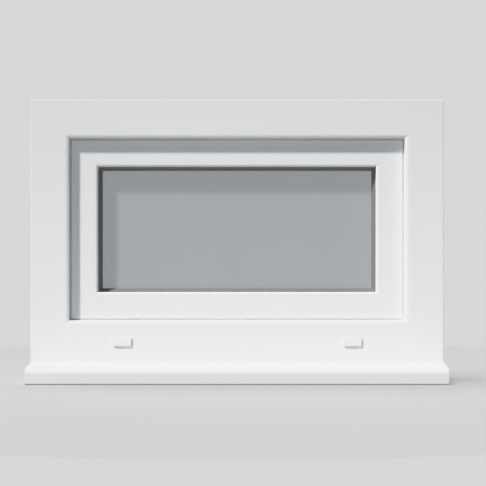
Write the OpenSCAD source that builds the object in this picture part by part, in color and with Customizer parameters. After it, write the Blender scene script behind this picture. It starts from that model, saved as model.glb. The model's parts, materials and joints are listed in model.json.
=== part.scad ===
// Small top-hung window: a recessed sash that opens outward on a pair of two-bar friction stays.
// X runs along the sill, -Y points outdoors, +Z is up. The origin is on the sill's bedding face,
// at mid-width and under the middle of the frame's depth.
// Profiles are drawn as [u, d]: u inward from the frame's outer edge, d from its outdoor face.

/* [Outer frame] */
// Width of the outer frame
frame_w = 800; // [640:10:1200]
// Height of the welded outer frame, above the base strip
frame_h = 502.5; // [460:0.5:900]
// Depth of the outer frame, outdoor face to room face
frame_d = 70; // [69:0.5:74]
// Width of the flat outdoor face
face_flat = 66.5; // [66:0.5:70]
// Width of the curved edge inside the flat face
bevel_w = 8; // [7:0.5:9]
// Depth of that curve
bevel_d = 2; // [1.5:0.5:3]
// Height of the stop leg behind the sash
stop_h = 12.5; // [11.5:0.5:12.5]
// Depth at which the stop leg starts
stop_d = 55.5; // [55.5:0.5:56.5]
// Height of the base strip under the frame
base_h = 7.5; // [7:0.5:20]

/* [Sill] */
// Height of the sill under the frame
sill_h = 30; // [28:1:40]
// How far the sill stands out in front of the frame
sill_out = 80; // [70:1:120]
// Fall of the sill's top towards its nose
sill_fall = 4; // [2:0.5:6]
// How far the nose hangs below the bedding face
nose_drop = 5; // [3:1:10]
// Radius of the nose's top edge
nose_r = 10; // [6:1:14]
// Thickness of the sill's end caps
end_cap_t = 3; // [2:0.5:5]

/* [Sash] */
// Gap between frame and sash face
sash_gap = 3; // [2.5:0.5:3]
// Depth of the sash face behind the frame face
sash_recess = 15; // [15:0.5:16]
// Width of the sash's flat outdoor face
sash_face = 46.5; // [44:0.5:48]
// Width of the curve at its inner edge
sash_bevel = 5; // [5:0.5:7]
// Depth of that curve
sash_bevel_d = 2; // [1.5:0.5:2.5]
// Gap between the frame's reveal and the sash body, which holds the stay arms
arm_gap = 6; // [6:0.1:6.4]
// Depth of the sash face that meets the weather seal
sash_back_d = 50; // [49.5:0.5:50]
// Depth of the sash's room face
sash_room_d = 78; // [77:0.5:80]

/* [Friction stay] */
// Distance between the pivots of the support arm
arm_centres = 85; // [75:1:90]
// Drop from the head reveal to the shoe pivot
pivot_drop = 20.5; // [20.5:0.5:22]
// Depth of the pivot line behind the frame face
pivot_d = 30; // [29.5:0.5:30]
// Radius of the rivet pins
pin_r = 3; // [2.8:0.1:3]
// Radial clearance of the rivet pins
pin_play = 0.05; // [0.03:0.01:0.09]
// Width of the track
track_w = 18; // [17:0.5:18]
// Width of the support arm
arm_w = 14; // [12:0.5:15]
// Length of the sliding shoe below its pivot
shoe_len = 34; // [30:1:38]

/* [Glazing] */
// Thickness of each pane
pane_t = 4; // [4:0.5:4]
// Gap between the panes
pane_gap = 16; // [15:0.5:16]
// Depth of the outer pane's outdoor face
glass_d = 40; // [40:0.5:40.5]
// Visible width of the outer glazing seal
seal_w = 7; // [5:0.5:7]

/* [Lock and handle] */
// Travel of the drive rod for a quarter turn of the handle
rod_travel = 18; // [16:0.5:18]
// Distance from the middle of the sash to each keep
keep_x = 180; // [150:5:190]
// Length of the lock's faceplate
faceplate_len = 470; // [460:5:480]
// Height of the spindle above the underside of the sash
backset = 27; // [27:0.1:27.2]
// Length of the handle lever from its axis
lever_len = 105; // [80:5:130]

/* [Drain caps] */
// Width of a drain cap
drain_w = 37; // [34:1:42]
// Height of a drain cap
drain_h = 16.5; // [15:0.5:20]
// How far a drain cap stands out
drain_t = 3.2; // [2.4:0.1:6]
// Distance of each drain cap from the middle
drain_x = 223; // [150:1:260]
// Height of the drain caps above the sill
drain_z = 41; // [36:1:46]

/* [Hidden] */
$fn = 48;
fillet_steps = 4;
edge_steps = 6;
edge_tip_r = 0.6;

WHITE = [0.93, 0.93, 0.93];
GREY_RUBBER = [0.26, 0.27, 0.28];
STEEL = [0.72, 0.73, 0.74];
ZINC = [0.6, 0.62, 0.63];
DARK = [0.15, 0.15, 0.16];

// Depths and levels that the profiles share
wall = 3;
skin = 2.6;
web = 2.5;
reveal_u = face_flat + bevel_w;
stop_u = reveal_u + stop_h;
groove_depth = 8.5;
groove_w = track_w + 1;
groove_u = reveal_u - groove_depth;
groove_d0 = pivot_d - groove_w / 2;
groove_d1 = pivot_d + groove_w / 2;
base_z = sill_h + base_h;
mid_z = base_z + frame_h / 2;
top_z = base_z + frame_h;
mitre_reach = 150;
fixing_r = 3.75;
fixing_d = 44.5;
fixing_inset = 150;
outer_web_u = 18;
cross_web_d = 36;
steel_u = outer_web_u + web;
steel_d = [20, 51];
steel_t = 1.5;
frame_steel = [[steel_u + 1, steel_d[0] + 1], [groove_u - web - 1, steel_d[1] - 1]];
frame_steel_end = 130;

sash_u = reveal_u + sash_gap;
body_u = reveal_u + arm_gap;
room_u = stop_u + 5;
rebate_u = sash_u + 40.5;
sight_u = sash_u + sash_face + sash_bevel;
leg_d = glass_d - 3.5;
flange_d = sash_recess + 4.5;
glass_u = rebate_u + 3;
unit_t = 2 * pane_t + pane_gap;
bead_d = glass_d + unit_t + 3;
inner_web_u = body_u + 23;
sash_steel = [[body_u + 3.5, pivot_d - 5], [inner_web_u - 0.5, pivot_d + 5.5]];
sash_steel_end = body_u + 32;

// Pivots of the stay: shoe on top, middle, fixed pivot at the foot of the track
shoe_z = top_z - reveal_u - pivot_drop;
middle_z = shoe_z - arm_centres;
foot_z = shoe_z - 2 * arm_centres;
// Layers across the jamb, from the frame's reveal (0) towards the sash body (arm_gap)
base_s = 2 - groove_depth;
lip_s = -2.1;
lip_top_s = -0.6;
support_s = 0.2;
arm_t = 2.5;
sash_arm_s = 3;
rivet_head_r = 4.8;
boss_r = 4.5;
brake_drop = 24;
arm_screw_drops = [20, 45, 120, 145, 185];
track_screw_rises = [-11, 30, 65, 165];
track_z0 = foot_z - 17;
track_z1 = top_z - reveal_u - 1;

// Lock, on the underside of the sash's bottom rail
under_z = base_z + body_u;
reveal_z = base_z + reveal_u;
lock_d = 42.4;
face_t = 2.5;
face_w = 13;
face_screw_inset = 7;
rod_w = 7.6;
rod_t = 2.2;
rod_z = under_z + face_t + 0.2;
spindle_z = under_z + backset;
pitch_r = rod_travel / (PI / 2);
pinion_teeth = 12;
rack_pitch = 2 * PI * pitch_r / pinion_teeth;
pitch_z = spindle_z - pitch_r;
tooth_up = 1.5;
tooth_down = 2;
gear_w = 7;
case_w = 10.4;
case_l = 66;
case_z1 = spindle_z + 9.4;
spindle_side = 7;
journal_r = 6;
cam_x = [-keep_x - rod_travel, keep_x - rod_travel];
keep_centres = [-keep_x, keep_x];
cam_head_z = reveal_z + 2.1;
cam_r = 4.5;
keep_t = 1.4;
keep_screw_x = 17;
keep_screw_d = lock_d + 3.1;
handle_screw_x = 24;
base_plate_t = 9;
hub_r = 7;

// Corner points are [x, y, radius]
function unit(v) = v / norm(v);
function fillet(a, b, c, r) =
    r == 0 ? [b] :
    let (
        p = unit(a - b),
        q = unit(c - b),
        half = acos(p * q) / 2,
        centre = b + unit(p + q) * r / sin(half),
        from = b + p * r / tan(half) - centre,
        to = b + q * r / tan(half) - centre,
        turn = sign(from.x * to.y - from.y * to.x) * (180 - 2 * half)
    )
    [for (i = [0:fillet_steps])
        let (g = turn * i / fillet_steps)
        centre + [from.x * cos(g) - from.y * sin(g), from.x * sin(g) + from.y * cos(g)]];
function corner(pts, i) = let (p = pts[(i + len(pts)) % len(pts)]) [p.x, p.y];
function rounded(pts) = [for (i = [0:len(pts) - 1])
    each fillet(corner(pts, i - 1), corner(pts, i), corner(pts, i + 1),
                len(pts[i]) > 2 ? pts[i][2] : 0)];

// Corner points of an edge that leaves a flat face at [u, d] and curves down by drop over width
function curved_edge(u, d, width, drop) =
    let (r = (width * width + drop * drop) / (2 * drop), reach = asin(width / r))
    [for (i = [0:edge_steps])
        let (a = reach * i / edge_steps)
        [u + r * sin(a), d + r * (1 - cos(a)), i == edge_steps ? edge_tip_r : 0]];

module box2(a, b) {
    translate(a) square(b - a);
}

module tube2(a, b, t) {
    difference() {
        box2(a, b);
        box2(a + [t, t], b - [t, t]);
    }
}

// A straight profile along X with both ends mitred; the 2D child is drawn as [u, d]
module mitred_rail(length) {
    intersection() {
        rotate([0, -90, 0]) linear_extrude(length, center = true) children();
        rotate([90, 0, 0]) translate([0, 0, -2 * mitre_reach]) linear_extrude(3 * mitre_reach)
            polygon([[-length / 2, 0], [length / 2, 0],
                     [length / 2 - mitre_reach, mitre_reach],
                     [mitre_reach - length / 2, mitre_reach]]);
    }
}

// One side of the window: 0 bottom, 1 left, 2 top, 3 right
module side(k) {
    upright = k % 2;
    translate([0, -frame_d / 2, mid_z]) rotate([0, 90 * k, 0])
        translate([0, 0, -(upright ? frame_w : frame_h) / 2])
            mitred_rail(upright ? frame_h : frame_w) children();
}

module ring() {
    for (k = [0:3]) side(k) children();
}

// ---- Outer frame ----

module frame_profile() {
    difference() {
        polygon(rounded([
            [0, 0, 1], each curved_edge(face_flat, 0, bevel_w, bevel_d),
            [reveal_u, groove_d0, 0.6], [groove_u, groove_d0], [groove_u, groove_d1],
            [reveal_u, groove_d1, 0.6], [reveal_u, stop_d], [stop_u, stop_d, 1],
            [stop_u, frame_d, 3], [0, frame_d, 1]
        ]));
        box2([wall, wall], [outer_web_u, cross_web_d - web]);
        box2([wall, cross_web_d], [outer_web_u, frame_d - wall]);
        box2([steel_u, wall], [groove_u - 2, groove_d0 - wall]);
        box2([steel_u, steel_d[0]], [groove_u - web, steel_d[1]]);
        box2([steel_u, steel_d[1] + web], [groove_u - web, frame_d - wall]);
        box2([groove_u, stop_d + wall], [stop_u - wall, frame_d - wall]);
        box2([groove_u, groove_d1 + web], [reveal_u - wall, stop_d - web]);
        box2([groove_u + 0.5, bevel_d + 2], [reveal_u - wall, groove_d0 - web]);
    }
}

module frame_fixing_bores() {
    for (z = [base_z + fixing_inset, top_z - fixing_inset])
        translate([0, fixing_d - frame_d / 2, z]) rotate([0, 90, 0])
            cylinder(h = frame_w + 2, r = fixing_r, center = true);
}

module frame_head() {
    color(WHITE) side(2) frame_profile();
}

module frame_jamb(k) {
    color(WHITE) difference() {
        side(k) frame_profile();
        frame_fixing_bores();
    }
}

drain_slot = [28, 5];

module slot2(length, width) {
    square([length - width, width], center = true);
    for (s = [-1, 1]) translate([s * (length - width) / 2, 0]) circle(d = width);
}

module frame_bottom_rail() {
    color(WHITE) difference() {
        side(0) frame_profile();
        for (s = [-1, 1])
            translate([s * drain_x, -frame_d / 2 + wall + 1, sill_h + drain_z]) rotate([90, 0, 0])
                linear_extrude(wall + 2) slot2(drain_slot[0], drain_slot[1]);
    }
}

module frame_base_strip() {
    color(WHITE) translate([0, -frame_d / 2, 0]) rotate([90, 0, 90])
        linear_extrude(frame_w, center = true) difference() {
            box2([0, sill_h], [frame_d, base_z]);
            box2([wall, sill_h + 2], [frame_d / 2 - 1, base_z - 2]);
            box2([frame_d / 2 + 1, sill_h + 2], [frame_d - wall, base_z - 2]);
        }
}

module frame_steels() {
    color(ZINC) difference() {
        ring() tube2(frame_steel[0], frame_steel[1], steel_t);
        frame_fixing_bores();
        corner_gaps(frame_steel_end);
    }
}

// The steels stop short of the welded corners, by this much along the frame's outer edge
module corner_gaps(reach) {
    for (sx = [-1, 1]) for (sz = [-1, 1])
        translate([sx * frame_w / 2, 0, mid_z + sz * frame_h / 2]) cube(2 * reach, center = true);
}

module frame_seal() {
    color(DARK) ring() polygon(rounded([
        [body_u + 0.4, stop_d - 0.02], [body_u + 0.4, sash_back_d + 0.2, 2.2],
        [stop_u - 0.4, sash_back_d + 0.2, 2.2], [stop_u - 0.4, stop_d - 0.02]
    ]));
}

module drain_cap(x) {
    color(WHITE) translate([x, -frame_d / 2, sill_h + drain_z]) rotate([90, 0, 0]) difference() {
        union() {
            linear_extrude(drain_t - 1) cap_outline(0);
            translate([0, 0, drain_t - 1]) linear_extrude(0.5) cap_outline(0.4);
            translate([0, 0, drain_t - 0.5]) linear_extrude(0.5) cap_outline(1);
        }
        translate([0, 0, -1]) linear_extrude(drain_t - 0.2) cap_outline(1.5);
        translate([-11, -drain_h / 2 - 1, -1]) cube([22, 4, drain_t - 0.2]);
    }
}

module cap_outline(inset) {
    w = drain_w / 2 - inset;
    h = drain_h / 2 - inset;
    polygon(rounded([[-w, -h, 2], [w, -h, 2], [w, h, 2], [-w, h, 2]]));
}

// ---- Sill ----

sill_back = frame_d / 2;
sill_front = -frame_d / 2 - sill_out;
function sill_top(y) = sill_h - sill_fall * max(0, -frame_d / 2 - y) / (sill_out - nose_r);

module sill_outline() {
    polygon(rounded([
        [sill_back, 0, 1], [sill_back, sill_h, 1], [-frame_d / 2, sill_h],
        [sill_front, sill_top(sill_front), nose_r], [sill_front, -nose_drop, 2.5],
        [sill_front + 14, -nose_drop, 1.5], [sill_front + 14, 0]
    ]));
}

module sill_chamber(y0, y1) {
    polygon([[y0, wall], [y1, wall], [y1, sill_top(y1) - wall], [y0, sill_top(y0) - wall]]);
}

module sill_board() {
    color(WHITE) rotate([90, 0, 90])
        linear_extrude(frame_w - 2 * end_cap_t, center = true) difference() {
            sill_outline();
            sill_chamber(sill_front + 18, sill_front + 46);
            sill_chamber(sill_front + 48.5, -frame_d / 2 - 2);
            sill_chamber(0.5 - frame_d / 2, -1.25);
            sill_chamber(1.25, sill_back - wall);
            polygon([
                [sill_front + wall, wall - nose_drop], [sill_front + 11, wall - nose_drop],
                [sill_front + 11, wall], [sill_front + 15.5, wall],
                [sill_front + 15.5, sill_h - sill_fall - 4], [sill_front + 9, sill_h - sill_fall - 4],
                [sill_front + wall, sill_h - sill_fall - nose_r]
            ]);
        }
}

module sill_end_cap(s) {
    color(WHITE) translate([s * (frame_w - end_cap_t) / 2, 0, 0]) rotate([90, 0, 90])
        linear_extrude(end_cap_t, center = true) sill_outline();
}

// ---- Sash ----

module sash_profile() {
    difference() {
        polygon(rounded([
            [sash_u, sash_recess, 1.5],
            each curved_edge(sash_u + sash_face, sash_recess, sash_bevel, sash_bevel_d),
            [sight_u, leg_d, 0.6], [rebate_u, leg_d],
            [rebate_u, sash_room_d, 1], [room_u, sash_room_d, 4], [room_u, sash_back_d],
            [body_u, sash_back_d, 1], [body_u, flange_d], [sash_u, flange_d, 0.8]
        ]));
        box2([body_u + web, sash_recess + skin], [inner_web_u, flange_d + 1.8]);
        polygon([
            [inner_web_u + web, sash_recess + skin], [sash_u + sash_face - 1.5, sash_recess + skin],
            [sight_u - skin, sash_recess + sash_bevel_d + skin], [sight_u - skin, leg_d - skin],
            [inner_web_u + web, leg_d - skin]
        ]);
        box2([body_u + web, flange_d + 4.1], [inner_web_u, pivot_d + 6]);
        box2([body_u + web, pivot_d + 8], [inner_web_u, sash_back_d - web]);
        box2([inner_web_u + web, leg_d - 0.1], [rebate_u - web, sash_room_d - web]);
        box2([room_u + web, sash_back_d - 0.1], [inner_web_u, sash_room_d - web]);
    }
}

module sash_member(k) {
    color(WHITE) side(k) sash_profile();
}

module sash_bottom_rail() {
    color(WHITE) difference() {
        side(0) sash_profile();
        translate([0, lock_d - frame_d / 2, 0]) {
            translate([-faceplate_len / 2 - 0.1, -face_w / 2 - 0.1, under_z - 1])
                cube([faceplate_len + 0.2, face_w + 0.2, face_t + 1.1]);
            translate([-case_l / 2 - 0.2, -case_w / 2 - 0.1, under_z])
                cube([case_l + 0.4, case_w + 0.2, case_z1 + 0.1 - under_z]);
            translate([0, 0, spindle_z]) rotate([-90, 0, 0])
                cylinder(h = sash_room_d, r = journal_r + 0.8);
        }
    }
}

module sash_steels() {
    color(ZINC) difference() {
        ring() tube2(sash_steel[0], sash_steel[1], steel_t);
        corner_gaps(sash_steel_end);
    }
}

// Soft lip that closes the gap round the sash face
module sash_lip_seal() {
    root = sash_u - 0.02;
    tip = reveal_u + 0.12;
    color(WHITE) ring() polygon([
        [root, sash_recess + 1.7], [tip, sash_recess + 0.9], [tip, sash_recess + 1.5],
        [root, sash_recess + 2.9]
    ]);
}

// ---- Glazing ----

module pane(d0) {
    w = frame_w - 2 * glass_u;
    h = frame_h - 2 * glass_u;
    translate([-w / 2, d0 - frame_d / 2, mid_z - h / 2]) cube([w, pane_t, h]);
}

module outer_pane() {
    color([0.62, 0.66, 0.68, 0.6]) pane(glass_d);
}

module inner_pane() {
    color([0.7, 0.75, 0.76, 0.5]) pane(glass_d + pane_t + pane_gap);
}

module spacer_bar() {
    u0 = glass_u + 5;
    u1 = u0 + 7;
    d0 = glass_d + pane_t;
    d1 = d0 + pane_gap;
    color(STEEL) ring() difference() {
        box2([u0, d0], [u1, d1]);
        box2([u0 - 1, d0 + 1.2], [u1 - 1.2, d1 - 1.2]);
    }
}

module edge_sealant() {
    color(DARK) ring()
        box2([glass_u + 0.2, glass_d + pane_t], [glass_u + 4.9, glass_d + pane_t + pane_gap]);
}

module outer_glazing_seal() {
    color(GREY_RUBBER) ring() polygon(rounded([
        [glass_u + 3, leg_d + 0.05], [sight_u + 0.05, leg_d + 0.05], [sight_u + 0.05, leg_d - 8],
        [sight_u + 2, leg_d - 7.5, 1], [sight_u + seal_w, leg_d + 1.5, 1],
        [sight_u + seal_w, glass_d - 0.05], [glass_u + 3, glass_d - 0.05]
    ]));
}

module inner_glazing_seal() {
    d0 = glass_d + unit_t;
    color(DARK) ring() polygon(rounded([
        [glass_u + 0.5, d0 + 0.05], [sight_u + seal_w + 0.8, d0 + 0.05],
        [sight_u + seal_w + 0.8, d0 + 1.4, 0.6], [sight_u + 4, bead_d - 0.05],
        [glass_u + 0.5, bead_d - 0.05]
    ]));
}

module bead(k) {
    color(WHITE) side(k) difference() {
        polygon(rounded([
            [rebate_u + 0.2, bead_d], [sight_u + seal_w, bead_d], [sight_u + seal_w, bead_d + 2.5, 1],
            [sight_u + seal_w - 3, bead_d + 5.5, 2], [rebate_u + 3.5, sash_room_d - 0.1, 2],
            [rebate_u + 0.2, sash_room_d - 0.1]
        ]));
        polygon([
            [rebate_u + 2, bead_d + 1.8], [sight_u + 2, bead_d + 1.8],
            [sight_u - 2, bead_d + 4.2], [rebate_u + 2, sash_room_d - 3]
        ]);
    }
}

module glazing_packers() {
    t = glass_u - rebate_u - 0.1;
    long = 80;
    corner_inset = 75;
    half_h = frame_h / 2 - rebate_u;
    half_w = frame_w / 2 - rebate_u;
    color([0.2, 0.35, 0.6]) translate([0, glass_d - frame_d / 2, mid_z]) {
        for (sx = [-1, 1]) for (sz = [-1, 1])
            translate([sx * (half_w - corner_inset) - long / 2, 0, sz > 0 ? half_h - t : -half_h])
                cube([long, unit_t, t]);
        for (sx = [-1, 1])
            translate([sx > 0 ? half_w - t : -half_w, 0, -long / 2]) cube([t, unit_t, long]);
    }
}

// ---- Friction stay, drawn at the left jamb: x across the jamb, y the depth, z the height ----

module hand(right) {
    mirror([right, 0, 0]) translate([reveal_u - frame_w / 2, -frame_d / 2, 0]) children();
}

module rod_x(s0, s1, z, r, d = pivot_d) {
    translate([s0, d, z]) rotate([0, 90, 0]) cylinder(h = s1 - s0, r = r);
}

module cone_x(s0, s1, z, r0, r1) {
    translate([s0, pivot_d, z]) rotate([0, 90, 0]) cylinder(h = s1 - s0, r1 = r0, r2 = r1);
}

// A plate across the jamb; the 2D child is drawn as [depth, height]
module plate_x(s0, t) {
    translate([s0, 0, 0]) rotate([90, 0, 90]) linear_extrude(t) children();
}

module bar2(w, z0, z1) {
    translate([pivot_d - w / 2, z0]) square([w, z1 - z0]);
}

module stay_track(right) {
    half = track_w / 2;
    a = pivot_d - half;
    b = pivot_d + half;
    color(STEEL) hand(right) difference() {
        translate([0, 0, track_z0]) linear_extrude(track_z1 - track_z0) polygon([
            [-groove_depth, a], [lip_top_s, a], [lip_top_s, a + 4.5], [lip_s, a + 4.5],
            [lip_s, a + 1.5], [base_s, a + 1.5], [base_s, b - 1.5], [lip_s, b - 1.5],
            [lip_s, b - 4.5], [lip_top_s, b - 4.5], [lip_top_s, b], [-groove_depth, b]
        ]);
        rod_x(-groove_depth - 1, base_s + 1, foot_z, 2.55);
        for (rise = track_screw_rises) {
            rod_x(-groove_depth - 1, base_s, foot_z + rise, 2);
            cone_x(base_s - 1.4, base_s + 0.01, foot_z + rise, 2, 3.4);
        }
    }
}

module track_screws() {
    color(STEEL) for (right = [0, 1]) hand(right) for (rise = track_screw_rises) {
        z = foot_z + rise;
        difference() {
            union() {
                cone_x(base_s - 1.4, base_s - 0.05, z, 1.9, 3.3);
                rod_x(-groove_depth - 8, base_s - 1.3, z, 1.9);
            }
            drive_slot(base_s - 0.7, z);
        }
    }
}

// Cross recess in a screw head whose top faces +x
module drive_slot(s, z) {
    for (flip = [0, 1])
        translate([s + 1, pivot_d, z]) rotate([90 * flip, 0, 0]) cube([2, 0.8, 3.6], center = true);
}

module track_end_cap(right) {
    z0 = shoe_z + 10;
    color(DARK) hand(right) {
        translate([base_s + 0.1, pivot_d - 7.3, z0]) cube([lip_s - base_s - 0.2, 14.6, track_z1 - z0]);
        translate([lip_s - 0.1, pivot_d - 4.3, z0]) cube([lip_top_s - lip_s + 0.2, 8.6, track_z1 - z0]);
        translate([lip_top_s + 0.1, pivot_d - 8, z0 + 2]) cube([2.9, 16, track_z1 - z0 - 2]);
    }
}

module track_rivets() {
    color(STEEL) for (right = [0, 1]) hand(right) {
        rod_x(-groove_depth + 0.1, base_s, foot_z, 2.5);
        rod_x(base_s, 0.1, foot_z, boss_r - 0.1);
        rod_x(0.1, 1.75, foot_z, pin_r);
        rod_x(1.7, support_s + arm_t - 0.1, foot_z, rivet_head_r);
    }
}

module support_arm(right) {
    bearing = 1.4;
    color(STEEL) hand(right) difference() {
        plate_x(support_s, arm_t) {
            bar2(arm_w, foot_z, middle_z);
            for (z = [foot_z, middle_z]) translate([pivot_d, z]) circle(d = arm_w);
        }
        for (z = [foot_z, middle_z]) rod_x(support_s - 1, support_s + arm_t + 1, z, pin_r + pin_play);
        rod_x(support_s + bearing, support_s + arm_t + 1, foot_z, rivet_head_r + 0.4);
        rod_x(support_s - 1, support_s + arm_t - bearing, middle_z, rivet_head_r + 0.4);
    }
}

module shoe(right) {
    color([0.3, 0.31, 0.32]) hand(right) difference() {
        union() {
            translate([base_s + 0.2, pivot_d - 7.3, shoe_z - shoe_len])
                cube([lip_s - base_s - 0.4, 14.6, shoe_len + 8]);
            translate([lip_s - 0.3, pivot_d - 4.3, shoe_z - shoe_len])
                cube([2.1, 8.6, shoe_len + 8]);
        }
        rod_x(base_s - 1, 1, shoe_z, pin_r + pin_play);
        rod_x(base_s - 1, 1, shoe_z - brake_drop, 2.05);
        rod_x(-1.8, 1, shoe_z - brake_drop, 3.3);
    }
}

module brake_screw(right) {
    color([0.78, 0.65, 0.35]) hand(right) difference() {
        union() {
            rod_x(base_s + 0.3, -1.75, shoe_z - brake_drop, 2);
            rod_x(-1.75, -0.5, shoe_z - brake_drop, 3.2);
        }
        translate([-0.5, pivot_d, shoe_z - brake_drop]) cube([1.4, 0.9, 8], center = true);
    }
}

module sash_arm(right) {
    color(STEEL) hand(right) difference() {
        plate_x(sash_arm_s, arm_gap - sash_arm_s) difference() {
            union() {
                bar2(track_w, shoe_z - 192, shoe_z);
                bar2(track_w - 6, shoe_z - 195, shoe_z);
                translate([pivot_d, shoe_z]) intersection() {
                    circle(d = track_w);
                    translate([-track_w / 2, 0]) square([track_w, 8]);
                }
                for (s = [-1, 1]) translate([pivot_d + s * (track_w / 2 - 3), shoe_z - 192]) circle(3);
            }
            for (z = [shoe_z, middle_z]) translate([pivot_d, z]) circle(pin_r + 0.02);
            for (drop = arm_screw_drops) translate([pivot_d, shoe_z - drop]) circle(2.1);
        }
        for (drop = arm_screw_drops)
            cone_x(sash_arm_s - 0.01, sash_arm_s + 1.7, shoe_z - drop, 3.9, 2.1);
    }
}

module sash_arm_rivets() {
    color(STEEL) for (right = [0, 1]) hand(right) {
        rod_x(base_s + 1.2, arm_gap, shoe_z, pin_r);
        rod_x(0, sash_arm_s, shoe_z, boss_r);
        rod_x(support_s + 0.1, support_s + arm_t - 1.5, middle_z, rivet_head_r);
        rod_x(support_s + 0.2, arm_gap, middle_z, pin_r);
    }
}

module sash_arm_screws() {
    color(STEEL) for (right = [0, 1]) hand(right) for (drop = arm_screw_drops) {
        z = shoe_z - drop;
        difference() {
            union() {
                cone_x(sash_arm_s + 0.05, sash_arm_s + 1.7, z, 3.8, 2);
                rod_x(sash_arm_s + 1.6, arm_gap + 12, z, 2);
            }
            drive_slot(sash_arm_s - 1.3, z);
        }
    }
}

// ---- Lock and handle, drawn at mid-width: x along the rail, y from the lock's centre line ----

module at_lock() {
    translate([0, lock_d - frame_d / 2, 0]) children();
}

module rod_y(y0, y1, z, r) {
    translate([0, y0, z]) rotate([-90, 0, 0]) cylinder(h = y1 - y0, r = r);
}

module lock_faceplate() {
    color(STEEL) at_lock() difference() {
        translate([-faceplate_len / 2, -face_w / 2, under_z]) cube([faceplate_len, face_w, face_t]);
        for (x = cam_x) translate([x + rod_travel / 2, 0, under_z - 1])
            linear_extrude(face_t + 2) slot2(rod_travel + 6.4, 6.4);
        for (s = [-1, 1]) translate([s * (faceplate_len / 2 - face_screw_inset), 0, under_z - 1]) {
            cylinder(h = face_t + 2, r = 1.9);
            translate([0, 0, 0.99]) cylinder(h = 1.7, r1 = 3.5, r2 = 1.9);
        }
    }
}

module lock_screws() {
    color(STEEL) at_lock() for (s = [-1, 1])
        translate([s * (faceplate_len / 2 - face_screw_inset), 0, under_z + 0.05]) {
            cylinder(h = 1.65, r1 = 3.4, r2 = 1.8);
            cylinder(h = 27, r = 1.8);
        }
}

module lock_gearbox() {
    z0 = under_z + face_t;
    color(ZINC) at_lock() difference() {
        translate([-case_l / 2, -case_w / 2, z0]) cube([case_l, case_w, case_z1 - z0]);
        translate([1.5 - case_l / 2, -4, z0 - 1]) cube([case_l - 3, 8, case_z1 - z0 - 0.2]);
        translate([-case_l, -4, z0 - 1]) cube([2 * case_l, 8, rod_t + 1.6]);
        rod_y(-case_w, case_w, spindle_z, journal_r + 0.08);
    }
}

// Tooth of height up above and down below the pitch line, centred on y
module tooth2(up, down) {
    thick = rack_pitch / 2 - 0.7;
    slope = tan(20);
    polygon([
        [-thick / 2 - down * slope, -down], [thick / 2 + down * slope, -down],
        [thick / 2 - up * slope, up], [up * slope - thick / 2, up]
    ]);
}

module lock_pinion() {
    color(ZINC) at_lock() difference() {
        union() {
            translate([0, gear_w / 2, spindle_z]) rotate([90, 0, 0]) linear_extrude(gear_w) {
                circle(pitch_r - tooth_down - 1.6);
                for (k = [-1:4]) rotate(-30 * k) translate([0, -pitch_r]) rotate(180)
                    tooth2(tooth_up, tooth_down + 2.2);
            }
            rod_y(-case_w / 2, case_w / 2, spindle_z, journal_r);
        }
        translate([0, 0, spindle_z])
            cube([spindle_side + 0.1, 2 * case_w, spindle_side + 0.1], center = true);
    }
}

module drive_rod() {
    root_z = pitch_z - tooth_down;
    first = -4.5 * rack_pitch;
    color(STEEL) at_lock() difference() {
        union() {
            translate([cam_x[0] - 8, -rod_w / 2, rod_z]) cube([cam_x[1] - cam_x[0] + 16, rod_w, rod_t]);
            translate([first - rack_pitch / 2, -gear_w / 2, rod_z])
                cube([7 * rack_pitch, gear_w, root_z - rod_z]);
            translate([0, gear_w / 2, pitch_z]) rotate([90, 0, 0]) linear_extrude(gear_w)
                for (k = [0:6]) translate([first + k * rack_pitch, 0]) tooth2(tooth_up, tooth_down + 0.1);
        }
        for (x = cam_x) translate([x, 0, rod_z - 1]) cylinder(h = rod_t + 2, r = 2.02);
    }
}

module locking_cams() {
    color(ZINC) at_lock() for (x = cam_x) translate([x, 0, 0]) {
        translate([0, 0, rod_z]) cylinder(h = rod_t, r = 2);
        translate([0, 0, cam_head_z + 2.3]) cylinder(h = rod_z - cam_head_z - 2.3, r = 3);
        translate([0, 0, cam_head_z]) cylinder(h = 2.4, r = cam_r);
    }
}

module keep(i) {
    x = keep_centres[i];
    d0 = lock_d - cam_r - 2.2;
    color(ZINC) difference() {
        translate([x, -frame_d / 2, reveal_z]) {
            translate([-23, d0, 0]) cube([46, 14.3, keep_t]);
            translate([-9, d0, 0]) cube([18, 1.6, 4.2]);
        }
        for (s = [-1, 1]) translate([x + keep_screw_x * s, keep_screw_d - frame_d / 2, reveal_z - 1]) {
            cylinder(h = keep_t + 2, r = 1.6);
            translate([0, 0, keep_t - 0.19]) cylinder(h = 1.2, r1 = 1.6, r2 = 2.8);
        }
    }
}

module keep_screws() {
    color(STEEL) for (x = keep_centres) for (s = [-1, 1])
        translate([x + keep_screw_x * s, keep_screw_d - frame_d / 2, reveal_z]) {
            translate([0, 0, keep_t - 1.19]) cylinder(h = 1.14, r1 = 1.5, r2 = 2.65);
            translate([0, 0, -10]) cylinder(h = 10.3, r = 1.5);
        }
}

module spindle() {
    y0 = -case_w / 2;
    y1 = sash_room_d + 20 - lock_d;
    color(STEEL) at_lock() translate([-spindle_side / 2, y0, spindle_z - spindle_side / 2])
        cube([spindle_side, y1 - y0, spindle_side]);
}

// Outline of the handle's base plate, drawn as [x, z] about the spindle
module base_plate2() {
    polygon(rounded([[-36, -10, 9], [36, -10, 9], [36, 10, 9], [-36, 10, 9]]));
}

module at_room_face() {
    translate([0, sash_room_d - frame_d / 2, 0]) children();
}

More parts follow.
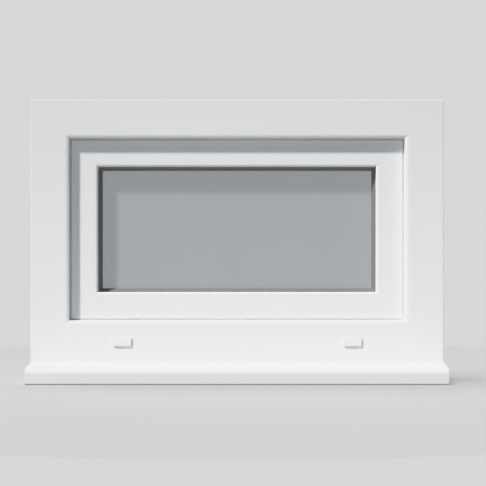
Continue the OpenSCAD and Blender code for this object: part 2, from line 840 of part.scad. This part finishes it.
module handle_base() {
    color(WHITE) at_room_face() difference() {
        translate([0, base_plate_t, spindle_z]) rotate([90, 0, 0])
            linear_extrude(base_plate_t) base_plate2();
        rod_y(-1, base_plate_t + 1, spindle_z, hub_r - 1.4);
        rod_y(base_plate_t - 3, base_plate_t + 1, spindle_z, hub_r + 0.08);
        for (s = [-1, 1]) translate([handle_screw_x * s, 0, 0]) {
            rod_y(-1, base_plate_t + 1, spindle_z, 2.6);
            rod_y(base_plate_t - 3.5, base_plate_t + 1, spindle_z, 4.6);
        }
    }
}

module handle_screws() {
    color(STEEL) at_room_face() for (s = [-1, 1]) translate([handle_screw_x * s, 0, 0]) difference() {
        union() {
            rod_y(base_plate_t - 3.5, base_plate_t - 0.6, spindle_z, 4.4);
            rod_y(-12, base_plate_t - 3.4, spindle_z, 2.5);
        }
        for (a = [0, 90]) translate([0, base_plate_t, spindle_z]) rotate([0, a, 0])
            cube([1, 3.6, 5], center = true);
    }
}

module handle_lever() {
    grip_y = base_plate_t + 8;
    grip_t = 11;
    tip_z = spindle_z + lever_len;
    color(WHITE) at_room_face() difference() {
        union() {
            rod_y(base_plate_t - 2.8, grip_y + 2, spindle_z, hub_r);
            translate([0, grip_y + grip_t, 0]) rotate([90, 0, 0]) linear_extrude(grip_t) {
                translate([0, spindle_z]) circle(hub_r);
                polygon([[-hub_r, spindle_z], [hub_r, spindle_z], [8, tip_z - 8], [-8, tip_z - 8]]);
                translate([0, tip_z - 8]) circle(8);
            }
        }
        translate([0, 0, spindle_z]) cube([spindle_side + 0.1, 41, spindle_side + 0.1], center = true);
    }
}

frame_head();
frame_jamb(1);  // frame_jamb_left
frame_jamb(3);  // frame_jamb_right
frame_bottom_rail();
frame_base_strip();
frame_steels();
frame_seal();
sill_board();
sill_end_cap(-1);  // sill_end_cap_left
sill_end_cap(1);  // sill_end_cap_right
drain_cap(-drain_x);  // drain_cap_left
drain_cap(drain_x);  // drain_cap_right
stay_track(0);  // stay_track_left
stay_track(1);  // stay_track_right
track_end_cap(0);  // track_end_cap_left
track_end_cap(1);  // track_end_cap_right
track_rivets();
track_screws();
keep(0);  // keep_left
keep(1);  // keep_right
keep_screws();
support_arm(0);  // support_arm_left
support_arm(1);  // support_arm_right
shoe(0);  // shoe_left
shoe(1);  // shoe_right
brake_screw(0);  // brake_screw_left
brake_screw(1);  // brake_screw_right
sash_member(2);  // sash_top_rail
sash_bottom_rail();
sash_member(1);  // sash_stile_left
sash_member(3);  // sash_stile_right
sash_steels();
outer_pane();
inner_pane();
spacer_bar();
edge_sealant();
outer_glazing_seal();
inner_glazing_seal();
sash_lip_seal();
bead(2);  // bead_top
bead(0);  // bead_bottom
bead(1);  // bead_left
bead(3);  // bead_right
glazing_packers();
sash_arm(0);  // sash_arm_left
sash_arm(1);  // sash_arm_right
sash_arm_rivets();
sash_arm_screws();
lock_faceplate();
lock_screws();
lock_gearbox();
lock_pinion();
drive_rod();
locking_cams();
spindle();
handle_base();
handle_screws();
handle_lever();
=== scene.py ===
import json
import math

import bpy
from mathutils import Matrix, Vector


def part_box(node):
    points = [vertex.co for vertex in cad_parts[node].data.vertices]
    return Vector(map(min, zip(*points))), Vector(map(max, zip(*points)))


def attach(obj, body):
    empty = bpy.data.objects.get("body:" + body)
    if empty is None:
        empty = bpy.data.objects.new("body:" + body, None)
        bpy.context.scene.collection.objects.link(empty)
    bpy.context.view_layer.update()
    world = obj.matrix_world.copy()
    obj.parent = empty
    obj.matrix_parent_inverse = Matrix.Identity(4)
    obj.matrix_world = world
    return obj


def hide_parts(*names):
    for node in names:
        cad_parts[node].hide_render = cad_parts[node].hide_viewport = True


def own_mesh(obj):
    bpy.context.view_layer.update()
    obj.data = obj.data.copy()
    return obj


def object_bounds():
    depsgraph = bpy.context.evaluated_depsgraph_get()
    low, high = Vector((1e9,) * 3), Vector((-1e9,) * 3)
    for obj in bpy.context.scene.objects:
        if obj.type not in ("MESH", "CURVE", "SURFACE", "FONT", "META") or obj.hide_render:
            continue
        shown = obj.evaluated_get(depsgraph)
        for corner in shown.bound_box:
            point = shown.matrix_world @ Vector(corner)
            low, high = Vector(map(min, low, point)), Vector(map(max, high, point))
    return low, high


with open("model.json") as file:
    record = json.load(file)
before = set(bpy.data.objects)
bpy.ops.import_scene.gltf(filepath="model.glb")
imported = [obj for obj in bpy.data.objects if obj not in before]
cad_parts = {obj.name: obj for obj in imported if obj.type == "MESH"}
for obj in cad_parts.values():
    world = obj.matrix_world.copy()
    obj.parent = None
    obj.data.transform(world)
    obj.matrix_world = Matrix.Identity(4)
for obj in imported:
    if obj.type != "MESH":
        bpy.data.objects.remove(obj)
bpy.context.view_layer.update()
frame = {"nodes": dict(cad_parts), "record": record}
nodes = frame["nodes"]

# ---------------------------------------------------------------- materials

NOISE_BAND = (0.3, 0.7)  # where nearly all values of a noise texture lie


class Shader:
    """A material with one Principled shader and short calls for the nodes that feed it."""

    def __init__(self, name, **values):
        self.mat = bpy.data.materials.new(name)
        self.mat.use_nodes = True
        self.tree = self.mat.node_tree
        self.bsdf = self.tree.nodes["Principled BSDF"]
        self.coords = self.node("ShaderNodeTexCoord").outputs["Object"]
        for socket, value in values.items():
            self.bsdf.inputs[socket.replace("_", " ")].default_value = value

    def node(self, kind, **settings):
        made = self.tree.nodes.new(kind)
        for key, value in settings.items():
            setattr(made, key, value)
        return made

    def link(self, source, target):
        self.tree.links.new(source, target)

    def scaled(self, scale):
        mapping = self.node("ShaderNodeMapping")
        mapping.inputs["Scale"].default_value = scale
        self.link(self.coords, mapping.inputs["Vector"])
        return mapping.outputs["Vector"]

    def noise(self, scale, detail=2.0, stretch=(1, 1, 1)):
        made = self.node("ShaderNodeTexNoise")
        made.inputs["Scale"].default_value = scale
        made.inputs["Detail"].default_value = detail
        self.link(self.scaled(stretch), made.inputs["Vector"])
        return made.outputs["Fac"]

    def cells(self, scale):
        made = self.node("ShaderNodeTexVoronoi")
        made.inputs["Scale"].default_value = scale
        self.link(self.coords, made.inputs["Vector"])
        return made.outputs["Distance"]

    def spread(self, value, low=0, high=1, band=NOISE_BAND):
        """The values in the band, spread out to run from low to high."""
        made = self.node("ShaderNodeMapRange")
        for socket, number in zip(("From Min", "From Max", "To Min", "To Max"),
                                  (*band, low, high)):
            made.inputs[socket].default_value = number
        self.link(value, made.inputs["Value"])
        return made.outputs["Result"]

    def add(self, a, b):
        made = self.node("ShaderNodeMath", operation="ADD")
        self.link(a, made.inputs[0])
        self.link(b, made.inputs[1])
        return made.outputs["Value"]

    def colour(self, factor, a, b):
        """A base colour between a and b."""
        made = self.node("ShaderNodeMix", data_type="RGBA")
        self.link(factor, made.inputs["Factor"])
        for socket, colour in (("A", a), ("B", b)):
            target = [s for s in made.inputs if s.name == socket and s.type == "RGBA"][0]
            target.default_value = colour
        result = [s for s in made.outputs if s.type == "RGBA"][0]
        self.link(result, self.bsdf.inputs["Base Color"])

    def roughness(self, source):
        self.link(source, self.bsdf.inputs["Roughness"])

    def bump(self, height, distance, strength):
        made = self.node("ShaderNodeBump")
        made.inputs["Strength"].default_value = strength
        made.inputs["Distance"].default_value = distance
        self.link(height, made.inputs["Height"])
        self.link(made.outputs["Normal"], self.bsdf.inputs["Normal"])


def grey(value, tint=(1, 1, 1)):
    return (value * tint[0], value * tint[1], value * tint[2], 1)


def plastic(name, value, tint=(1, 1, 1), rough=0.38):
    """Extruded or moulded plastic: slight mottling and a light orange peel."""
    s = Shader(name, IOR=1.53, Specular_IOR_Level=0.42)
    s.colour(s.spread(s.noise(9, detail=3)), grey(value * 0.985, tint), grey(value, tint))
    s.roughness(s.spread(s.noise(55, detail=3), rough - 0.04, rough + 0.05))
    s.bump(s.add(s.noise(420), s.noise(900)), distance=0.00004, strength=0.35)
    return s.mat


def metal(name, value, tint=(1, 1, 1), rough=0.3, along=(1, 1, 0.04), spangle=False):
    """Drawn or cast metal: fine lines along one axis over patches, or over zinc spangles."""
    s = Shader(name, Metallic=1.0)
    lines = s.noise(700, detail=3, stretch=along)
    patch = s.cells(160) if spangle else s.noise(60, detail=4)
    s.colour(s.spread(patch, band=(0.2, 0.8)), grey(value * 0.86, tint), grey(value, tint))
    s.roughness(s.spread(lines, rough - 0.07, rough + 0.1))
    s.bump(lines, distance=0.00003, strength=0.5)
    return s.mat


def rubber(name, value, tint=(1, 1, 1)):
    """Matt rubber with a fine grain."""
    s = Shader(name)
    s.colour(s.spread(s.noise(130, detail=3)), grey(value * 0.88, tint), grey(value * 1.08, tint))
    s.roughness(s.spread(s.noise(300), 0.55, 0.72))
    s.bump(s.noise(1500), distance=0.00005, strength=0.5)
    return s.mat


def glass(name, value, tint, alpha):
    """Float glass with a fine satin veil, so shadows show on it, under a clear polished face."""
    s = Shader(name, IOR=2.28, Roughness=0.06, Coat_Weight=1.0, Coat_Roughness=0.02, Alpha=alpha)
    s.colour(s.spread(s.noise(2.2)), grey(value * 0.97, tint), grey(value * 1.02, tint))
    s.bump(s.noise(3, detail=1), distance=0.0006, strength=0.3)
    return s.mat


EVEN = (1, 1, 1)
looks = {
    "white_upvc": plastic("white_upvc", 0.86, (1.0, 1.0, 0.995)),
    # Painted shade: the sill is the frame's white uPVC, given a darker value to take out the light
    # that the floor and the key throw on it
    "sill_upvc": plastic("sill_upvc", 0.76, (1.0, 1.0, 0.995)),
    "white_trim": plastic("white_trim", 0.86),
    "white_handle": plastic("white_handle", 0.84, rough=0.3),
    "grey_rubber": rubber("grey_rubber", 0.175, (0.98, 1.0, 1.03)),
    "black_rubber": rubber("black_rubber", 0.035),
    "pale_rubber": rubber("pale_rubber", 0.62),
    "galvanised_steel": metal("galvanised_steel", 0.62, (0.98, 1.0, 1.02), 0.4, spangle=True),
    "stainless_steel": metal("stainless_steel", 0.66, (1.0, 0.99, 0.97)),
    "zinc_casting": metal("zinc_casting", 0.55, (0.98, 1.0, 1.03), 0.42, along=EVEN),
    "black_nylon": plastic("black_nylon", 0.04, rough=0.5),
    "brass": metal("brass", 0.7, (1.0, 0.78, 0.42), along=EVEN),
    "aluminium": metal("aluminium", 0.72, (0.99, 1.0, 1.02), 0.35),
    "packer_plastic": plastic("packer_plastic", 0.3, (0.3, 0.6, 1.4), rough=0.5),
    "grey_glass": glass("grey_glass", 0.24, (0.96, 1.0, 1.02), alpha=0.9),
    "clear_glass": glass("clear_glass", 0.26, (0.96, 1.0, 1.02), alpha=0.12),
}
for part in frame["record"]["subparts"]:
    node = nodes[part["node"]]
    node.data.materials.clear()
    node.data.materials.append(looks[part["material_slot"]])

# ---------------------------------------------------------------- pieces


def piece(name, verts, faces, body, slot_name, stands_for):
    """A smooth-shaded mesh that rides on a body in place of the CAD node named last."""
    mesh = bpy.data.meshes.new(name)
    mesh.from_pydata(verts, [], faces)
    mesh.polygons.foreach_set("use_smooth", [True] * len(mesh.polygons))
    mesh.materials.append(looks[slot_name])
    mesh.validate()
    obj = bpy.data.objects.new(name, mesh)
    bpy.context.scene.collection.objects.link(obj)
    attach(obj, body)
    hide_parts(stands_for)
    return obj


def loft(rings):
    """Vertices and faces of a closed skin through rings of equal length, capped at both ends."""
    n = len(rings[0])
    faces = [(i * n + k, i * n + (k + 1) % n, (i + 1) * n + (k + 1) % n, (i + 1) * n + k)
             for i in range(len(rings) - 1) for k in range(n)]
    faces += [tuple(range(n - 1, -1, -1)), tuple((len(rings) - 1) * n + k for k in range(n))]
    return [v for ring in rings for v in ring], faces


def smooth_step(low, high, x):
    t = min(1.0, max(0.0, (x - low) / (high - low)))
    return t * t * (3 - 2 * t)


# Handle lever, in metres; heights are measured up from the spindle
BEND = 0.0085              # radius of the crank's middle line
WAIST = 0.0062             # half the width where the grip begins
GRIP = 0.0055              # half the grip's thickness
HOLLOW = 0.0006            # how much thinner the grip is in its lower half
TIP = 0.008                # length of the rounded tip
ROUND_TO_FLAT = (0, 0.03)  # where the section turns from round to flattened
WIDENS = (0.02, 0.075)
HOLLOW_RUN = (0.03, 0.1)
FLATTENED = 0.7            # how far the grip's section departs from an ellipse
TIP_THICKNESS = 0.25       # share of the thickness that is left at the very tip
NECK_RINGS, BEND_RINGS, GRIP_RINGS, TIP_RINGS, RING_POINTS = 6, 12, 24, 10, 40


def lever_path(neck_y, grip_y, tip):
    """The lever's middle line: [y, height, lean from the spindle's direction]."""
    bend_y = grip_y - BEND
    path = [(neck_y + (bend_y - neck_y) * i / NECK_RINGS, 0.0, 0.0) for i in range(NECK_RINGS)]
    for i in range(BEND_RINGS + 1):
        a = math.radians(90 * i / BEND_RINGS)
        path.append((bend_y + BEND * math.sin(a), BEND - BEND * math.cos(a), a))
    path += [(grip_y, BEND + (tip - TIP - BEND) * i / GRIP_RINGS, math.pi / 2)
             for i in range(1, GRIP_RINGS + 1)]
    path += [(grip_y, tip - TIP + TIP * math.sin(math.radians(90 * i / TIP_RINGS)), math.pi / 2)
             for i in range(1, TIP_RINGS)]
    return path


def handle_lever():
    """Cranked lever: a round neck on the spindle that bends up into a flattened grip."""
    low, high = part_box("handle_lever")
    spindle_low, spindle_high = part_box("spindle")
    axis_z = (spindle_low.z + spindle_high.z) / 2
    neck_r = axis_z - low.z
    tip = high.z - axis_z
    rings = []
    for y, up, lean in lever_path(low.y, high.y - GRIP, tip):
        flat = smooth_step(*ROUND_TO_FLAT, up)
        half_x = neck_r + (WAIST - neck_r) * flat + (high.x - WAIST) * smooth_step(*WIDENS, up)
        half_t = neck_r + (GRIP - neck_r) * smooth_step(0, BEND, up)
        half_t -= HOLLOW * math.sin(math.pi * smooth_step(*HOLLOW_RUN, up))
        close = math.sqrt(max(0.0, 1 - (max(0.0, up - tip + TIP) / TIP) ** 2))
        half_x *= close
        half_t *= TIP_THICKNESS + (1 - TIP_THICKNESS) * close
        power = 2 / (2 + FLATTENED * flat)
        ring = []
        for k in range(RING_POINTS):
            turn = 2 * math.pi * k / RING_POINTS
            c, d = math.cos(turn), math.sin(turn)
            x = half_x * math.copysign(abs(c) ** power, c)
            v = half_t * math.copysign(abs(d) ** power, d)
            ring.append((x, y + v * math.sin(lean), axis_z + up - v * math.cos(lean)))
        rings.append(ring)
    piece("lever", *loft(rings), "handle", "white_handle", "handle_lever")


handle_lever()

# The weather seal: a bulb on a flat foot, in a mitred ring on the frame's stop leg, in metres
FOOT, NECK, BULB = 0.0028, 0.0015, 0.0021  # half widths
FOOT_EDGE, FOOT_TOP = 0.0007, 0.0011       # heights
BULB_ARC = (-48, 276)                      # start and sweep in degrees
BULB_STEPS = 16
SEAL_INSET = 0.00285                       # from the CAD ring's outline to the middle line
seal_low, seal_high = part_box("frame_seal")
bulb_middle = seal_high.y - seal_low.y - BULB
bulb = [math.radians(BULB_ARC[0] + BULB_ARC[1] * i / BULB_STEPS) for i in range(BULB_STEPS + 1)]
seal_profile = [(-FOOT, 0), (-FOOT, FOOT_EDGE), (-NECK, FOOT_TOP)]
seal_profile += [(-BULB * math.cos(a), bulb_middle + BULB * math.sin(a)) for a in bulb]
seal_profile += [(NECK, FOOT_TOP), (FOOT, FOOT_EDGE), (FOOT, 0)]
SEAL_X = (seal_high.x - seal_low.x) / 2 - SEAL_INSET
SEAL_Z = (seal_high.z - seal_low.z) / 2 - SEAL_INSET
SEAL_MID_Z = (seal_low.z + seal_high.z) / 2


def seal_run(name, along_x, sign, start, stop, mitre_start, mitre_stop):
    """A straight run of the seal; start and stop are where its middle line begins and ends."""
    rings = []
    for at, mitre in ((start, mitre_start), (stop, mitre_stop)):
        ring = []
        for u, height in seal_profile:
            y = seal_high.y - height
            if along_x:
                ring.append((at - mitre * u, y, SEAL_MID_Z + sign * (SEAL_Z - u)))
            else:
                ring.append((sign * (SEAL_X - u), y, at - mitre * u))
        rings.append(ring)
    return piece(name, *loft(rings), "frame", "black_rubber", "frame_seal")


seal_run("seal_head", True, 1, -SEAL_X, SEAL_X, -1, 1)
seal_run("seal_foot", True, -1, -SEAL_X, SEAL_X, -1, 1)
# Where an edge of the opened sash leans on the upright seals, the seal is split into short
# segments, each given a mesh of its own
PRESSED_Z = 0.378
SEGMENT = 0.006
KEEPS = [0.9, 0.7, 0.45, 0.24, 0.24, 0.24, 0.45, 0.7, 0.9]  # height left of each segment
for side, sign in (("left", -1), ("right", 1)):
    z0 = PRESSED_Z - SEGMENT * len(KEEPS) / 2
    z1 = z0 + len(KEEPS) * SEGMENT
    seal_run("seal_low_" + side, False, sign, SEAL_MID_Z - SEAL_Z, z0, -1, 0)
    for i, keep in enumerate(KEEPS):
        segment = seal_run("seal_%s_%d" % (side, i), False, sign, z0 + i * SEGMENT,
                           z0 + (i + 1) * SEGMENT, 0, 0)
        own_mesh(segment)
    seal_run("seal_high_" + side, False, sign, z1, SEAL_MID_Z + SEAL_Z, 0, 1)

# The sash lip's section, [outward, depth] in mm from its root at the edge of the sash face
LIP_BLADE = [(0.0, 0.8), (0.8, 0.48), (1.6, 0.24), (2.4, 0.08), (2.85, 0.03), (2.99, 0.16),
             (2.9, 0.45), (2.4, 0.6), (1.6, 0.92), (0.8, 1.42), (0.0, 2.0)]
LIP_ROOT = 0.0029  # from the CAD ring's outline in to the root
MM = 1 / 1000


def sash_lip():
    """Soft blade round the sash face that reaches the frame's reveal."""
    low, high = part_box("sash_lip_seal")
    half_x, half_z = (high.x - low.x) / 2 - LIP_ROOT, (high.z - low.z) / 2 - LIP_ROOT
    mid_x, mid_z = (low.x + high.x) / 2, (low.z + high.z) / 2
    corners = ((-1, -1), (1, -1), (1, 1), (-1, 1))
    verts = [(mid_x + sx * (half_x + out * MM), low.y + deep * MM, mid_z + sz * (half_z + out * MM))
             for sx, sz in corners for out, deep in LIP_BLADE]
    n = len(LIP_BLADE)
    faces = [(c * n + k, c * n + (k + 1) % n, (c + 1) % 4 * n + (k + 1) % n, (c + 1) % 4 * n + k)
             for c in range(4) for k in range(n)]
    piece("sash_lip", verts, faces, "sash", "pale_rubber", "sash_lip_seal")


sash_lip()

# Pressed, moulded and cast parts lose their sharp edges; radii in metres
SOFT_EDGES = {
    0.0003: ("keep_left", "keep_right", "lock_faceplate", "drain_cap_left", "drain_cap_right"),
    0.0004: ("support_arm_left", "support_arm_right", "sash_arm_left", "sash_arm_right",
             "shoe_left", "shoe_right", "track_end_cap_left", "track_end_cap_right",
             "lock_gearbox"),
    0.0005: ("sill_end_cap_left", "sill_end_cap_right", "frame_base_strip"),
    0.0012: ("handle_base",),
}
SHARP = math.radians(35)
for radius, names in SOFT_EDGES.items():
    for name in names:
        bevel = nodes[name].modifiers.new("soft_edges", "BEVEL")
        bevel.width = radius
        bevel.segments = 3
        bevel.limit_method = "ANGLE"
        bevel.angle_limit = SHARP

# ---------------------------------------------------------------- camera, light, floor


def add_object(name, data):
    obj = bpy.data.objects.new(name, data)
    bpy.context.scene.collection.objects.link(obj)
    return obj


def aim(obj, direction):
    obj.rotation_mode = "QUATERNION"
    obj.rotation_quaternion = Vector(direction).to_track_quat("-Z", "Y")


def sun(name, direction, strength, degrees, colour=(1, 1, 1)):
    lamp = add_object(name, bpy.data.lights.new(name, "SUN"))
    aim(lamp, direction)
    lamp.data.energy = strength
    lamp.data.angle = math.radians(degrees)
    lamp.data.color = colour
    return lamp


AHEAD = (0, 1, 0)  # square on the window's outdoor face
camera = add_object("camera", bpy.data.cameras.new("camera"))
camera.location = (0.0116, -2.965, 0.2624)
aim(camera, AHEAD)
camera.data.lens = 112
camera.data.sensor_width = 36
bpy.context.scene.camera = camera

# The key comes over the left shoulder and casts the bands of shade on the sash and the glass
key = sun("key_light", (1.55, 1.0, -2.15), strength=4.5, degrees=5.0, colour=(1.03, 1.0, 0.95))
overhead = sun("floor_light", (0.15, -0.05, -1.0), strength=3.25, degrees=60)
sky = sun("sky_light", (0.3, 0.8, -1.0), strength=0.42, degrees=90, colour=(0.86, 1.0, 1.17))
room = sun("room_light", (-0.7, -1.0, -0.35), strength=1.4, degrees=90)

softbox = add_object("softbox", bpy.data.lights.new("softbox", "AREA"))
softbox.location = (0, -3.6, 0.6)
aim(softbox, AHEAD)
softbox.data.shape = "RECTANGLE"
softbox.data.size, softbox.data.size_y = 1.9, 1.3
softbox.data.energy = 7
softbox.data.color = (0.93, 1.0, 1.06)
softbox.visible_camera = False

# The world: a pale background for the camera, mostly that in mirrored rays, a dim fill otherwise
BACKGROUND = (0.679, 0.679, 0.683, 1)
FILL = (0.02, 0.028, 0.04, 1)
MIRRORED_SHARE = 0.7
world = bpy.data.worlds.new("studio")
bpy.context.scene.world = world
world.use_nodes = True
tree = world.node_tree
tree.nodes.clear()
choice = tree.nodes.new("ShaderNodeMixShader")
rays = tree.nodes.new("ShaderNodeLightPath")
share = tree.nodes.new("ShaderNodeMath")
share.operation = "MULTIPLY_ADD"
share.inputs[1].default_value = MIRRORED_SHARE
tree.links.new(rays.outputs["Is Glossy Ray"], share.inputs[0])
tree.links.new(rays.outputs["Is Camera Ray"], share.inputs[2])
tree.links.new(share.outputs[0], choice.inputs["Fac"])
for i, light in ((1, FILL), (2, BACKGROUND)):
    shade = tree.nodes.new("ShaderNodeBackground")
    shade.inputs["Color"].default_value = light
    tree.links.new(shade.outputs[0], choice.inputs[i])
tree.links.new(choice.outputs[0], tree.nodes.new("ShaderNodeOutputWorld").inputs["Surface"])

FLOOR_RADIUS = 1.1
FLOOR_SIDES = 96
floor_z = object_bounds()[0].z
rim = [(FLOOR_RADIUS * math.cos(a), FLOOR_RADIUS * math.sin(a), floor_z)
       for a in (2 * math.pi * i / FLOOR_SIDES for i in range(FLOOR_SIDES))]
floor_mesh = bpy.data.meshes.new("floor")
floor_mesh.from_pydata(rim, [], [tuple(range(FLOOR_SIDES))])
floor = add_object("floor", floor_mesh)
paint = Shader("floor_paint", Roughness=0.9, Specular_IOR_Level=0.0)
paint.colour(paint.spread(paint.noise(3, detail=3)), grey(0.6), grey(0.61))
floor_mesh.materials.append(paint.mat)

# The overhead light is for the floor alone, and the others are for the object alone
for lamp, state in ((key, "EXCLUDE"), (softbox, "EXCLUDE"), (sky, "EXCLUDE"), (room, "EXCLUDE"),
                    (overhead, "INCLUDE")):
    group = bpy.data.collections.new(lamp.name + "_on")
    group.objects.link(floor)
    group.collection_objects[0].light_linking.link_state = state
    lamp.light_linking.receiver_collection = group

# A soft shoulder, so the brightest white plastic keeps its shading
SHOULDER = ((0.35, 0.35), (0.7, 0.7), (0.85, 0.805), (1.0, 0.86), (1.25, 0.91), (1.7, 0.955))
SHOULDER_END = (2.6, 1.0)
BRIGHTEST = 3.0
settings = bpy.context.scene.view_settings
settings.view_transform = "Standard"
settings.look = "None"
settings.use_curve_mapping = True
curves = settings.curve_mapping
curves.clip_max_x = curves.clip_max_y = BRIGHTEST
combined = curves.curves[3]
combined.points[1].location = SHOULDER_END
for x, y in SHOULDER:
    combined.points.new(x, y)
curves.update()
